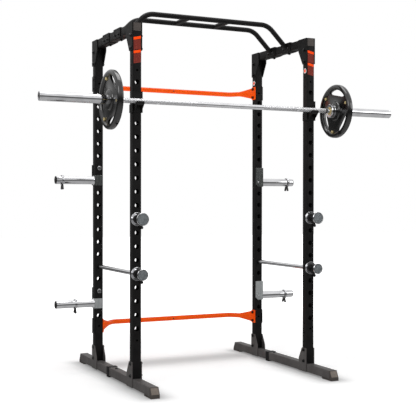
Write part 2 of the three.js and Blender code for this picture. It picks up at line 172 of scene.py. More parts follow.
powder = surface("powder_black", "0c0b0b", "131212", (0.4, 0.52),
                 grains=((1300, 0.0001), (320, 0.00004)), specular=0.16)
rail_coat = surface("powder_rail", "4c4948", "575453", (0.42, 0.55),
                    grains=((1300, 0.0001), (320, 0.00004)), specular=0.2)
cap_plastic = surface("cap_plastic", "100f0f", "181616", (0.42, 0.58), grains=((900, 0.0001),),
                      specular=0.2)
orange = surface("orange_paint", "f04e00", "f85a02", (0.26, 0.36), blotch=9,
                 grains=((420, 0.00004),), specular=0.14)
end_cap_plastic = surface("end_cap_plastic", "3f3a37", "4a4441", (0.45, 0.6),
                          grains=((900, 0.0001),), specular=0.25)
# Lighter plastic laid on the slope of the caps' noses: a painted highlight where light falls on the
# slope.
slope_highlight_plastic = surface("slope_highlight_plastic", "6b625a", "7a7067", (0.5, 0.65), 0.0, 60, ((900, 0.0001),))
chrome = surface("chrome", "c3c3c5", "d3d3d5", (0.05, 0.12), 1.0, 22, ((240, 0.00001),))
zinc = surface("zinc", "8d918f", "a9adab", (0.12, 0.22), 1.0, 30, ((500, 0.00003),), (1, 1, 0.15))
pale_zinc = surface("pale_zinc", "a2a6a7", "babdbd", (0.34, 0.46), 0.6, 30, ((500, 0.00003),),
                    (1, 1, 0.15))
satin_steel = surface("satin_steel", "8a9093", "9fa5a8", (0.3, 0.42), 0.9, 60, ((900, 0.00003),))
bolt_black = surface("bolt_black", "080808", "131212", (0.22, 0.36), 0.0, 80, ((700, 0.00004),))
coating = surface("plate_coating", "060606", "0c0b0b", (0.12, 0.2), 0.0, 16,
                  ((700, 0.00005), (120, 0.00003)), specular=0.8)
brass = surface("brass", "c4b078", "dccb96", (0.3, 0.42), 0.5, 90, ((600, 0.00004),))
grip_rubber = surface("grip_rubber", "141313", "1f1d1d", (0.5, 0.65), 0.0, 60, ((600, 0.0001),))
decal_orange = surface("decal_orange", "f64404", "fc5110", (0.35, 0.45), 0.0, 60,
                       ((900, 0.00001),), specular=0.1)
decal_red = surface("decal_red", "73281f", "8c3a30", (0.4, 0.5), 0.0, 260,
                    ((900, 0.00001),), specular=0.1)
decal_white = surface("decal_white", "e2e0dd", "f2f0ed", (0.4, 0.5), 0.0, 60, ((900, 0.00001),))


KNURL_PITCH, KNURL_STARTS, KNURL_DEPTH = 0.002, 22.0, 0.0004
SMOOTH_MIDDLE = 0.215
SMOOTH_RINGS = ((0.438, 0.452), (0.64, 0.7))


def knurled():
    """Chrome with two crossed spirals of knurling, left smooth in the middle and at the ring marks."""
    g = Graph("knurled_chrome")
    place = g.add("TexCoord").outputs["Object"]
    parts = g.add("SeparateXYZ", None, Vector=place).outputs
    turn = g.math("MULTIPLY", g.math("ARCTAN2", parts[2], parts[1]), KNURL_STARTS)
    along = g.math("MULTIPLY", parts[0], math.pi / KNURL_PITCH)
    first = g.math("ABSOLUTE", g.math("SINE", g.math("ADD", along, turn)))
    second = g.math("ABSOLUTE", g.math("SINE", g.math("SUBTRACT", along, turn)))
    diamonds = g.math("MINIMUM", first, second)
    out = g.math("ABSOLUTE", parts[0])
    rough_zone = g.math("GREATER_THAN", out, SMOOTH_MIDDLE)
    for start, stop in SMOOTH_RINGS:
        ring = g.math("MULTIPLY", g.math("GREATER_THAN", out, start), g.math("LESS_THAN", out, stop))
        rough_zone = g.math("MULTIPLY", rough_zone, g.math("SUBTRACT", 1.0, ring))
    height = g.math("MULTIPLY", diamonds, rough_zone)
    g.tree.links.new(g.bump(height, KNURL_DEPTH), g.shader.inputs["Normal"])
    cloud = g.ramp(g.noise(place, 30.0), 0.35, 0.65)
    plain = g.mix(cloud, tint("dadadc"), tint("e6e6e8"))
    g.feed(g.shader.inputs["Base Color"], g.mix(rough_zone, plain, tint("d8d8da")))
    g.feed(g.shader.inputs["Roughness"], g.ramp(rough_zone, 0.0, 1.0, 0.14, 0.32))
    g.shader.inputs["Metallic"].default_value = 1.0
    return g.material


knurl = knurled()

# ---------- meshes ----------
AXES = {"x": (1, 2, 0), "y": (2, 0, 1), "z": (0, 1, 2)}   # two section axes, then the long axis
NO_RADIUS = 0.02                    # a closed end is a very small ring, so that rings still match
HEAD_SIDES = 24


def circle(radius, count):
    return [(radius * math.cos(2 * math.pi * i / count),
             radius * math.sin(2 * math.pi * i / count)) for i in range(count)]


def hexagon(radius):
    """A hexagon with points along its sides too, as many as a bolt head's circle has."""
    points = []
    for i in range(HEAD_SIDES):
        angle = 2 * math.pi * i / HEAD_SIDES
        reach = radius / math.cos(angle % (math.pi / 3) - math.pi / 6)
        points.append((reach * math.cos(angle), reach * math.sin(angle)))
    return points


def rounded(width, height, radius, steps=4):
    """Corners of a rounded rectangle about the origin, anticlockwise."""
    points = []
    for cx, cy, start in ((1, 1, 0), (-1, 1, 90), (-1, -1, 180), (1, -1, 270)):
        for step in range(steps + 1):
            angle = math.radians(start + 90 * step / steps)
            points.append((cx * (width / 2 - radius) + radius * math.cos(angle),
                           cy * (height / 2 - radius) + radius * math.sin(angle)))
    return points


def curve(start, control, stop, steps):
    """Points of a bend from start to stop that heads for a control point."""
    return [start * (1 - t) ** 2 + control * 2 * t * (1 - t) + stop * t * t
            for t in [i / steps for i in range(steps + 1)]]


def across(outline, axis, at, station):
    """A section [(u, v)] moved to its place in the plane across an axis."""
    u, v, w = AXES[axis]
    points = []
    for a, b in outline:
        point = [0.0, 0.0, 0.0]
        point[u], point[v], point[w] = a + at[0], b + at[1], station
        points.append(point)
    return points


def stood(outline, at, direction, height):
    """A section laid across a direction, at a height above a point."""
    z = Vector(direction).normalized()
    x = z.orthogonal().normalized()
    y = z.cross(x)
    return [Vector(at) + x * a + y * b + z * height for a, b in outline]


class Piece:
    """A mesh put together from closed shells, each with its own material."""

    def __init__(self, name):
        self.name = name
        self.mesh = bmesh.new()
        self.materials = []

    def shell(self, rings, material, closed=False):
        """Joins rings of points, all with the same count, into one skin."""
        if material not in self.materials:
            self.materials.append(material)
        made = [[self.mesh.verts.new(Vector(p) * MM) for p in ring] for ring in rings]
        count = len(rings[0])
        faces = []
        for first, second in zip(made, made[1:] + made[:1] if closed else made[1:]):
            for i in range(count):
                j = (i + 1) % count
                faces.append(self.mesh.faces.new((first[i], first[j], second[j], second[i])))
        if not closed:
            faces.append(self.mesh.faces.new(reversed(made[0])))
            faces.append(self.mesh.faces.new(made[-1]))
        for face in faces:
            face.material_index = self.materials.index(material)
            face.smooth = True
        bmesh.ops.recalc_face_normals(self.mesh, faces=faces)

    def prism(self, outline, axis, low, high, material, at=(0, 0)):
        """An outline drawn out along an axis from low to high."""
        self.shell([across(outline, axis, at, station) for station in (low, high)], material)

    def box(self, x, y, z, material):
        self.prism([(x[0], y[0]), (x[1], y[0]), (x[1], y[1]), (x[0], y[1])], "z", z[0], z[1], material)

    def tube(self, outer, inner, axis, low, high, material, at=(0, 0)):
        """A hollow section with square-cut ends."""
        walls = ((outer, low), (outer, high), (inner, high), (inner, low))
        self.shell([across(outline, axis, at, station) for outline, station in walls], material,
                   closed=True)

    def lathe(self, profile, axis, material, at=(0, 0), segments=48):
        """Turns [(station, radius)] about an axis. A radius of 0 closes an end."""
        self.shell([across(circle(max(radius, NO_RADIUS), segments), axis, at, station)
                    for station, radius in profile], material)

    def sweep(self, path, radii, material, segments, side=Vector((0, 1, 0)), ends=None):
        """A round wire along a path, with one radius or one for each point.

        The path never follows the direction side. With ends, both ends are cut square at that x.
        """
        if not isinstance(radii, list):
            radii = [radii] * len(path)
        rings = []
        for i, (point, radius) in enumerate(zip(path, radii)):
            before, after = path[max(i - 1, 0)], path[min(i + 1, len(path) - 1)]
            along = (Vector(after) - Vector(before)).normalized()
            level = along.cross(side).normalized()
            other = level.cross(along).normalized()
            ring = [Vector(point) + (level * a + other * b) * radius for a, b in circle(1, segments)]
            if ends is not None and i in (0, len(path) - 1):
                plane = ends if i else -ends
                ring = [p + along * ((plane - p.x) / along.x) for p in ring]
            rings.append(ring)
        self.shell(rings, material)

    def button_head(self, at, direction, size, washer=True, material=None):
        """Round bolt head with a hexagon socket, standing on a surface at a point."""
        material = material or bolt_black
        base = 1.2 if washer else 0.0
        if washer:
            disc = circle(size * 1.3, HEAD_SIDES)
            self.shell([stood(disc, at, direction, height) for height in (0, base)], material)
        top = base + size * 0.62
        steps = [(circle(size, HEAD_SIDES), base),
                 (circle(size, HEAD_SIDES), base + size * 0.25),
                 (circle(size * 0.86, HEAD_SIDES), base + size * 0.5),
                 (circle(size * 0.6, HEAD_SIDES), top),
                 (hexagon(size * 0.36), top),
                 (hexagon(size * 0.36), top - size * 0.35)]
        self.shell([stood(outline, at, direction, height) for outline, height in steps], material)

    def nut(self, at, direction, size):
        """Hexagon nut with the bolt's end standing out of it."""
        for outline, height in ((circle(size, 6), size * 0.8), (circle(size * 0.55, 16), size * 1.1)):
            self.shell([stood(outline, at, direction, level) for level in (0, height)], bolt_black)

    def done(self, body, nodes=(), at=(0, 0, 0), turn=0.0, bevel=0.8, cutter=None):
        """Makes the object in its place, riding on a body and standing for CAD nodes."""
        data = bpy.data.meshes.new(self.name)
        self.mesh.to_mesh(data)
        self.mesh.free()
        for material in self.materials:
            data.materials.append(material)
        made = bpy.data.objects.new(self.name, data)
        scene.collection.objects.link(made)
        if cutter is not None:
            trim(made, cutter)
        made.data.set_sharp_from_angle(angle=math.radians(38))
        made.location = Vector(at) * MM
        made.rotation_euler = (0, 0, turn)
        if bevel:
            soften = made.modifiers.new("edges", "BEVEL")
            soften.width = bevel * MM
            soften.segments = 2
            soften.limit_method = "ANGLE"
            soften.angle_limit = math.radians(50)
            soften.harden_normals = True
        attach(made, body)
        if nodes:
            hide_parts(*nodes)


def trim(target, cutter):
    """Cuts one mesh out of another and keeps the result."""
    data = bpy.data.meshes.new("cutter")
    cutter.mesh.to_mesh(data)
    cutter.mesh.free()
    tool = bpy.data.objects.new("cutter", data)
    scene.collection.objects.link(tool)
    step = target.modifiers.new("cut", "BOOLEAN")
    step.object = tool
    step.operation = "DIFFERENCE"
    step.solver = "EXACT"
    step.use_self = True
    graph = bpy.context.evaluated_depsgraph_get()
    result = bpy.data.meshes.new_from_object(target.evaluated_get(graph))
    target.modifiers.remove(step)
    target.data = result
    bpy.data.objects.remove(tool)
    for face in target.data.polygons:
        face.use_smooth = True


def refined(node, body, material, bevel):
    """The CAD node's own shape, just off the floor, with merged flat faces and softened edges."""
    piece = Piece(node + "_shell")
    piece.mesh.from_mesh(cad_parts[node].data)
    piece.materials = [material]
    bmesh.ops.remove_doubles(piece.mesh, verts=piece.mesh.verts, dist=1e-5)
    bmesh.ops.dissolve_limit(piece.mesh, angle_limit=0.01, verts=piece.mesh.verts,
                             edges=piece.mesh.edges)
    for vertex in piece.mesh.verts:
        vertex.co.z = max(vertex.co.z, GAP * MM)
    for face in piece.mesh.faces:
        face.smooth = True
        face.material_index = 0
    piece.done(body, [node], bevel=bevel)


# ---------- side frames ----------
square = rounded(TUBE, TUBE, 5)
square_bore = rounded(TUBE - 2 * WALL, TUBE - 2 * WALL, 3)
# Outlines of the gussets: how far inward from an upright's outer face, and the height.
LOWER_GUSSET = [(0, 9), (0, 150), (48, 150), (83, 85), (87, 9)]
UPPER_GUSSET = [(0, 1854), (47, 1854), (95, 1940), (95, 2008), (0, 2008)]
LOWER_BOLTS, UPPER_BOLTS = (138, 72), (1938, 1868)
KNOB_Y = {"left": -14, "right": 88}


def gussets(piece, outline, coat):
    """Plates on both faces of a side frame, at its front and rear uprights."""
    for end in (-1, 1):
        corners = [(end * (UPRIGHT_Y + HALF - inward), z) for inward, z in outline]
        for face in (-1, 1):
            low, high = sorted((face * (HALF + GAP), face * (HALF + 5)))
            piece.prism(corners, "x", low, high, coat)


def corner_bolts(piece, heights, outward):
    for end in (-1, 1):
        for z in heights:
            piece.button_head((outward * (HALF + 5), end * UPRIGHT_Y, z), (outward, 0, 0), 9.5)
            piece.nut((-outward * (HALF + 5), end * UPRIGHT_Y, z), (-outward, 0, 0), 9.5)


def upright_holes():
    """Cutter for the adjusting holes, from front to back, and for the holes of the braces."""
    cutter = Piece("holes")
    reach = TUBE * 0.8
    for z in HOLES:
        cutter.prism(circle(13.5, 36), "y", -reach, reach, powder, (z, 0))
    for z in BRACES.values():
        cutter.prism(circle(6, 20), "y", -reach, reach, powder, (z, 0))
        for offset in (-BRACE_BOLT, BRACE_BOLT):
            cutter.prism(circle(4.6, 16), "x", -reach, reach, powder, (0, z + offset))
    return cutter


def post(side, sign, place, end):
    """An upright: a square tube with its wall and holes."""
    piece = Piece(f"{side}_{place}_post")
    piece.tube(square, square_bore, "z", UPRIGHT_Z[0], UPRIGHT_Z[1], powder)
    piece.done(CAGE, [f"{side}_{place}_upright"],
               (sign * FRAME_X, end * UPRIGHT_Y, 0), bevel=0, cutter=upright_holes())


def front_marks(side, sign):
    """Two slanted bars, each above a hatched block, on the front face of a front upright."""
    piece = Piece(f"{side}_front_marks")
    half_width, rise = 21, -4.5 * sign

    def band(low, height, material):
        corners = [(low - rise, -half_width), (low + rise, half_width),
                   (low + rise + height, half_width), (low - rise + height, -half_width)]
        piece.prism(corners, "y", -HALF - 0.35, -HALF, material)

    for base in (1786, 1860):
        for line in range(9):
            band(base + 5.8 * line, 4.4, decal_red)
        band(base + 54, 15, decal_orange)
    piece.done(CAGE, at=(sign * FRAME_X, -UPRIGHT_Y, 0), bevel=0)


def base_rail(side, sign):
    piece = Piece(f"{side}_rail_tube")
    piece.tube(square, square_bore, "y", -RAIL_END, RAIL_END, rail_coat, (sum(RAIL_Z) / 2, 0))
    gussets(piece, LOWER_GUSSET, rail_coat)
    corner_bolts(piece, LOWER_BOLTS, sign)
    piece.done(CAGE, [f"{side}_base_rail"], (sign * FRAME_X, 0, 0))


def top_beam(side, sign):
    """The beam with its gussets and bolts and a plug in each end."""
    piece = Piece(f"{side}_beam_tube")
    centre = (sum(BEAM_Z) / 2, 0)
    piece.tube(square, square_bore, "y", -BEAM_END, BEAM_END, powder, centre)
    gussets(piece, UPPER_GUSSET, powder)
    corner_bolts(piece, UPPER_BOLTS, sign)
    for end in (-1, 1):
        low, high = sorted((end * (BEAM_END - 6), end * BEAM_END))
        piece.prism(rounded(44.6, 44.6, 3), "y", low, high, end_cap_plastic, centre)
    piece.done(CAGE, [f"{side}_top_beam"], (sign * FRAME_X, 0, 0))


def end_cap(side, sign, place, turn):
    """Cap of a rail's end: a long sole, a nose whose slope carries a lighter skin as a painted
    highlight, and a plug inside the tube.
    """
    piece = Piece(f"{side}_{place}_cap")
    nose, brow = Vector((CAP_FRONT, 17)), Vector((CAP_FRONT + 20, RAIL_Z[1]))
    back, sole = CAP_FRONT + 22, RAIL_Z[0] - GAP
    side_view = [(CAP_FRONT, 0), (CAP_FRONT + 95, 0), (CAP_FRONT + 103, sole), (back, sole),
                 (back, RAIL_Z[1]), tuple(brow), tuple(nose)]
    piece.prism(side_view, "x", -HALF, HALF, end_cap_plastic)
    slope = (brow - nose).normalized()
    out = Vector((-slope.y, slope.x))
    low, high = nose + slope * 4, brow - slope * 4
    # The thin lighter skin over the slope is a painted highlight, not the cap's own colour.
    skin = [low + out * 0.05, high + out * 0.05, high - out, low - out]
    piece.prism([tuple(p) for p in skin], "x", -21.5, 21.5, slope_highlight_plastic)
    piece.box((-23, 23), (back - 1, back + 28), (RAIL_Z[0] + 3, RAIL_Z[1] - 3), cap_plastic)
    piece.done(CAGE, [f"{side}_{place}_end_cap"], (sign * FRAME_X, 0, 0), turn,
               bevel=2.2)


def frame_bolts(side, sign):
    """The bolt on the rail, and the under-plates, bolts and nuts of the pull-up bar's saddles."""
    piece = Piece(f"{side}_frame_bolts")
    piece.button_head((0, KNOB_Y[side], RAIL_Z[1]), (0, 0, 1), 8)
    for y in (-PULL_UP_Y, PULL_UP_Y):
        under = BEAM_Z[0] - 3.5
        piece.button_head((0, y, BEAM_Z[1] + SADDLE), (0, 0, 1), 7.5)
        piece.box((-22, 22), (y - 50, y + 50), (under, BEAM_Z[0] - 0.2), powder)
        piece.nut((0, y, under), (0, 0, -1), 10)
        for offset in (-27, 27):
            z = BEAM_Z[0] + 18
            piece.button_head((-sign * (HALF + SADDLE), y + offset, z), (-sign, 0, 0), 6.5)
            piece.nut((sign * (HALF + SADDLE), y + offset, z), (sign, 0, 0), 6.5)
    piece.done(CAGE, at=(sign * FRAME_X, 0, 0), bevel=0.5)


def brace_fixing(side, sign, level, height):
    """Outer plate of a brace's fixing, with its two bolts and their nuts inside the cage."""
    piece = Piece(f"{side}_{level}_brace_fixing")
    near, far = HALF + GAP, HALF + GAP + 4.4
    low, high = sorted((sign * near, sign * far))
    piece.prism(rounded(46, 92, 5), "x", low, high, powder)
    for offset in (-BRACE_BOLT, BRACE_BOLT):
        piece.button_head((sign * far, 0, offset), (sign, 0, 0), 7.2, washer=False)
        piece.nut((-sign * (near + 5.3), 0, offset), (-sign, 0, 0), 8.5)
    piece.done(CAGE, [f"{side}_{level}_brace_{end}_bolt" for end in ("top", "bottom")],
               (sign * FRAME_X, UPRIGHT_Y, height), bevel=0.6)


for side, sign in SIDES.items():
    post(side, sign, "front", -1)
    post(side, sign, "rear", 1)
    front_marks(side, sign)
    base_rail(side, sign)
    top_beam(side, sign)
    end_cap(side, sign, "front", 0)
    end_cap(side, sign, "rear", math.pi)
    refined(f"{side}_mid_foot", CAGE, cap_plastic, 1.5)
    frame_bolts(side, sign)
    for place in ("front", "rear"):
        refined(f"{side}_{place}_saddle", CAGE, powder, 1.0)
    refined(f"{side}_j_cup", CAGE, powder, 1.2)
    for level, height in BRACES.items():
        brace_fixing(side, sign, level, height)

spots = Piece("right_frame_spots")
for y in (-UPRIGHT_Y, UPRIGHT_Y):
    spots.prism(circle(15, 32), "x", -0.3, 0, decal_white, (y, 1813))
    spots.prism(circle(10.5, 32), "x", -0.5, 0, decal_orange, (y, 1813))
spots.done(CAGE, at=(FRAME_X - HALF, 0, 0), bevel=0)

# ---------- rear braces ----------
BRACE_HALF = 15.0                   # half the size of the brace's rounded tube
FLARE_HALF_HEIGHT = 37.0            # half the height of its flattened ends
BRACE_PLATE = 5.0
PLATE_TO = FRAME_X - HALF - GAP
PLATE_FROM = PLATE_TO - BRACE_PLATE
BRACE_FOOT = Vector((PLATE_FROM + 1, 8))
BRACE_FLARE_END = Vector((462, 79))
BRACE_CORNER = Vector((415, 131))
BEND_REACH = 26.0                   # from a bend's corner to either end of the bend


def brace_stations():
    """Places, directions and half sizes along a brace, from its right plate to its left one."""
    inward = (BRACE_CORNER - BRACE_FOOT).normalized()
    along = Vector((-1, 0))
    flare = (BRACE_FLARE_END - BRACE_FOOT).length
    right = []
    for i in range(11):
        t = i / 10
        lean = min(1, t * 2)
        way = (along * (1 - lean) + inward * lean).normalized()
        deep = BRACE_HALF - 1 + t * (2 - t)
        tall = BRACE_HALF + (FLARE_HALF_HEIGHT - BRACE_HALF) * (1 - t) ** 1.15
        right.append((BRACE_FOOT + inward * flare * t, way, deep, tall))
    bend = curve(BRACE_CORNER - inward * BEND_REACH, BRACE_CORNER, BRACE_CORNER + along * BEND_REACH, 8)
    for i, place in enumerate(bend):
        t = i / 8
        right.append((place, (inward * (1 - t) + along * t).normalized(), BRACE_HALF, BRACE_HALF))
    left = [(Vector((-p.x, p.y)), Vector((w.x, -w.y)), d, h) for p, w, d, h in reversed(right)]
    return right + left


def brace(level, height):
    """A round bar whose ends flatten into tall flares, with a plate and nut pockets at each end."""
    piece = Piece(f"{level}_brace_tube")
    rings = []
    for place, way, deep, tall in brace_stations():
        flatness = min(1.0, (tall - BRACE_HALF) / (FLARE_HALF_HEIGHT - BRACE_HALF))
        power = 1.0 - 0.3 * flatness
        ring = []
        for a, b in circle(1, 32):
            out = deep * math.copysign(abs(a) ** power, a)
            up = tall * math.copysign(abs(b) ** power, b)
            ring.append((place.x + way.y * out, place.y - way.x * out, up))
        rings.append(ring)
    piece.shell(rings, orange)
    pockets = Piece("pockets")
    for end in (-1, 1):
        low, high = sorted((end * PLATE_FROM, end * PLATE_TO))
        piece.prism(rounded(45, 84, 4), "x", low, high, orange)
        for offset in (-BRACE_BOLT, BRACE_BOLT):
            low, high = sorted((end * (PLATE_FROM - 26), end * PLATE_FROM))
            pockets.prism(circle(11, 24), "x", low, high, orange, (0, offset))
    piece.done(CAGE, [f"{level}_rear_brace"], (0, UPRIGHT_Y, height), bevel=0,
               cutter=pockets)


def brace_screw(level, height):
    piece = Piece(f"{level}_brace_screw")
    front = BRACE_CORNER.y - BRACE_HALF + 0.4
    piece.button_head((0, front, 0), (0, -1, 0), 4.5, washer=False)
    piece.done(CAGE, at=(0, UPRIGHT_Y, height), bevel=0)


for level, height in BRACES.items():
    brace(level, height)
    brace_screw(level, height)

# ---------- pull-up bar ----------
PULL_UP_BEND_X, PULL_UP_BEND_RADIUS = 400.0, 110.0
PULL_UP_END = FRAME_X - HALF - SADDLE - GAP


def pull_up_path():
    """Level in the middle, then a bend of 45 degrees down to each saddle."""
    tangent = PULL_UP_BEND_RADIUS * math.tan(math.pi / 8)
    down = Vector((1, 0, -1))
    corner = Vector((PULL_UP_BEND_X, 0, PULL_UP_Z))
    stop = corner + down * tangent * math.sqrt(0.5)
    half = curve(corner - Vector((tangent, 0, 0)), corner, stop, 10)
    half += [stop + down * 30, stop + down * 62]
    return [Vector((-p.x, 0, p.z)) for p in reversed(half)] + half


def pull_up_tube(place, y):
    piece = Piece(f"{place}_pull_up_bar")
    piece.sweep(pull_up_path(), PULL_UP_RADIUS, powder, 32, ends=PULL_UP_END)
    piece.done(CAGE, [f"{place}_pull_up_tube"], (0, y, 0), bevel=0.6)


def pull_up_grip(side):
    """Short tube between the two bars, with a weld bead that follows the joint at each end."""
    piece = Piece(f"{side}_grip_tube")
    reach = PULL_UP_Y - 8
    piece.lathe([(-reach, 0), (-reach, 14.5), (reach, 14.5), (reach, 0)], "y", powder, segments=32)
    for end in (-1, 1):
        bead = []
        for i in range(33):
            angle = 2 * math.pi * i / 32
            depth = math.sqrt(15.8 ** 2 - (14.1 * math.sin(angle)) ** 2)
            bead.append((14.1 * math.cos(angle), end * (PULL_UP_Y - depth), 13.3 * math.sin(angle)))
        piece.sweep(bead, 1.6, powder, 8, side=Vector((0.02, 1, 0.01)))
    piece.done(CAGE, [f"{side}_pull_up_grip"],
               (middle(f"{side}_pull_up_grip")[0], 0, PULL_UP_Z), bevel=0)


pull_up_tube("front", -PULL_UP_Y)
pull_up_tube("rear", PULL_UP_Y)
for side in SIDES:
    pull_up_grip(side)

# ---------- barbell ----------
SHAFT_RADIUS, RING_MARK = 14.0, 445.0
SHAFT_END = span("barbell_shaft")[0][1]
SLEEVE_FROM, COLLAR_TO, BAR_END = 668.0, 698.0, span("right_sleeve")[0][1]
PLATE_X = span("right_weight_plate")[0][0]
PLATE_SPOKES = {"left": math.pi - 1.19, "right": 0.72}
GRIP_ARC, GRIP_HALF_ANGLE = 130.0, 0.64       # outer edge of a plate's opening
GRIP_CHORD, GRIP_HALF_CHORD = 94.0, 56.0      # its straight inner edge


def shaft():
    """Knurled bar with a groove at each ring mark."""
    piece = Piece("shaft")
    profile = [(-SHAFT_END, 0), (-SHAFT_END, SHAFT_RADIUS)]
    for mark in (-RING_MARK, RING_MARK):
        profile += [(mark - 4, SHAFT_RADIUS), (mark - 3.5, SHAFT_RADIUS - 0.6),
                    (mark + 3.5, SHAFT_RADIUS - 0.6), (mark + 4, SHAFT_RADIUS)]
    piece.lathe(profile + [(SHAFT_END, SHAFT_RADIUS), (SHAFT_END, 0)], "x", knurl)
    piece.done("barbell", ["barbell_shaft"], BAR, bevel=0)


def sleeve(side, turn):
    """Sleeve with its grooved collar, the groove and plug of its end, and a bushing round the bar."""
    piece = Piece(f"{side}_sleeve_tube")
    collar = [
        (3, 0), (3, 26), (0.6, 27.5), (0, 29), (0, 37), (3, 40), (9, 40), (10, 39), (19, 39), (20, 40),
    ]
    edge = [(-3, 40), (0, 37), (0, 27), (2, 25)]
    tip = [
        (-12, 25), (-11.2, 24.2), (-9, 24.2), (-8.2, 25), (-2, 25), (-0.4, 23.4), (-0.4, 20),
        (-2.4, 19.4), (-2.4, 0),
    ]
    profile = [(start + x, radius) for start, steps in
               ((SLEEVE_FROM, collar), (COLLAR_TO, edge), (BAR_END, tip)) for x, radius in steps]
    piece.lathe(profile, "x", chrome, segments=64)
    piece.lathe([(BAR_END - 2.5, 0), (BAR_END - 2.5, 19), (BAR_END - 1.6, 18.6), (BAR_END - 1.6, 0)],
                "x", bolt_black)
    piece.tube(circle(23, 40), circle(14.4, 40), "x", SLEEVE_FROM + 0.6, SLEEVE_FROM + 4, brass)
    piece.done(f"{side}_sleeve_body", [f"{side}_sleeve"], BAR, turn, bevel=0)


def plate_openings(spokes):
    """Cutter for a plate's three openings: an arc outside and slanted sides to a flat inside."""
    cutter = Piece("openings")
    arc = []
    for i in range(13):
        angle = GRIP_HALF_ANGLE * (i / 6 - 1)
        arc.append((GRIP_ARC * math.cos(angle), GRIP_ARC * math.sin(angle)))
    flank = curve(Vector(arc[-1]), Vector((GRIP_CHORD + 4, GRIP_HALF_CHORD + 18)),
                  Vector((GRIP_CHORD, GRIP_HALF_CHORD)), 6)[1:]
    outline = arc + [tuple(p) for p in flank] + [(p.x, -p.y) for p in reversed(flank)]
    for step in (0.5, 1.5, 2.5):
        angle = spokes + step * 2 * math.pi / 3
        c, s = math.cos(angle), math.sin(angle)
        cutter.prism([(y * c - z * s, y * s + z * c) for y, z in outline], "x", -5, 41, coating)
    return cutter


def weight_plate(side, sign, turn):
    """Plate with a raised hub and rim, turned from one face round to the other."""
    piece = Piece(f"{side}_grip_plate")
    piece.lathe([
        (0, 26), (0, 52), (2, 56), (9, 60), (11, 66), (11, 129), (4, 134), (0, 138), (0, 150), (2, 154),
        (7, 159), (10, 160), (26, 160), (29, 159), (34, 154), (36, 150), (36, 138), (32, 134),
        (25, 129), (25, 66), (27, 60), (34, 56), (36, 52), (36, 26)], "x", coating, segments=96)
    piece.done(f"{side}_plate_body", [f"{side}_weight_plate"],
               (sign * PLATE_X, BAR[1], BAR[2]), turn, bevel=1.6,
               cutter=plate_openings(PLATE_SPOKES[side]))


def plate_studs(side, sign, turn):
    """Brass studs on both faces of a plate's spokes, and the steel rings of its hub."""
    piece = Piece(f"{side}_plate_studs")
    for step in range(3):
        angle = PLATE_SPOKES[side] + step * 2 * math.pi / 3
        at = (126 * math.cos(angle), 126 * math.sin(angle))
        for face, out in ((11, -1), (25, 1)):
            steps = [(face, 0), (face, 9), (face + out * 6, 9), (face + out * 7.4, 7.6),
                     (face + out * 7.8, 0)]
            piece.lathe(steps, "x", brass, at, 20)
    for low, high in ((0.2, 10), (26, 35.8)):
        piece.tube(circle(30, 48), circle(26.1, 48), "x", low, high, satin_steel)
    piece.done(f"{side}_plate_body", at=(sign * PLATE_X, BAR[1], BAR[2]), turn=turn,
               bevel=0)


shaft()
for side, sign in SIDES.items():
    turn = 0 if sign > 0 else math.pi
    sleeve(side, turn)
    weight_plate(side, sign, turn)
    plate_studs(side, sign, turn)

# ---------- storage pegs ----------
PEG_REACH, PEG_DROP = 264.0, 75.0
PEG_LEVELS = {"lower": (HOLES[2], pale_zinc), "upper": (HOLES[12], zinc)}
COIL_TURNS, COIL_PITCH, COIL_RADIUS, COIL_STEPS = 3, 4.4, 28.1, 28
LEVER_LEAN = 0.4


def peg_bracket(name, place, coat):
    """Sheet wrapped round three sides of the upright, with a back plate, a pin and its bolt."""
    at, turn = place
    piece = Piece(f"{name}_peg_bracket")
    face, back = HALF + GAP, HALF + GAP + 4
    wrap = [(20, -back), (20, -face), (-face, -face), (-face, face), (-back, face), (-back, -back)]
    piece.prism(wrap, "z", -PEG_DROP - 30, -PEG_DROP + 30, coat)
    plate = [(20, -30), (20, HALF), (-86, HALF), (-103, 8), (-103, -30)]
    piece.prism(plate, "y", face, back, coat)
    pin = [(-31, 0), (-31, 10.6), (-29.6, 12.1), (face + 1, 12.1), (face + 1, 0)]
    piece.lathe(pin, "y", chrome, segments=40)
    piece.button_head((8, back, -PEG_DROP), (0, 1, 0), 5, material=chrome)
    piece.done(f"{name}_peg_body", [f"{name}_storage_peg"], at, turn, bevel=0.7)


def peg_tube(name, place):
    at, turn = place
    piece = Piece(f"{name}_peg_tube")
    back = HALF + GAP + 4
    piece.lathe([(-PEG_REACH, 21.5), (-PEG_REACH, 23), (-PEG_REACH + 1, 24), (-back - 5, 24),
                 (-back - 2, 26), (-back, 27.5), (-back, 20)], "x", chrome, (0, -PEG_DROP), 56)
    piece.done(f"{name}_peg_body", at=at, turn=turn, bevel=0)


def peg_plug(name, place):
    at, turn = place
    piece = Piece(f"{name}_peg_plug")
    piece.lathe([(-PEG_REACH - 5, 0), (-PEG_REACH - 5, 18), (-PEG_REACH - 3.8, 22),
                 (-PEG_REACH - GAP, 23.6), (-PEG_REACH - GAP, 20.5), (-PEG_REACH + 15, 20.2),
                 (-PEG_REACH + 15, 0)], "x", cap_plastic, (0, -PEG_DROP), 48)
    piece.done(f"{name}_peg_body", [f"{name}_peg_cap"], at, turn, bevel=0)


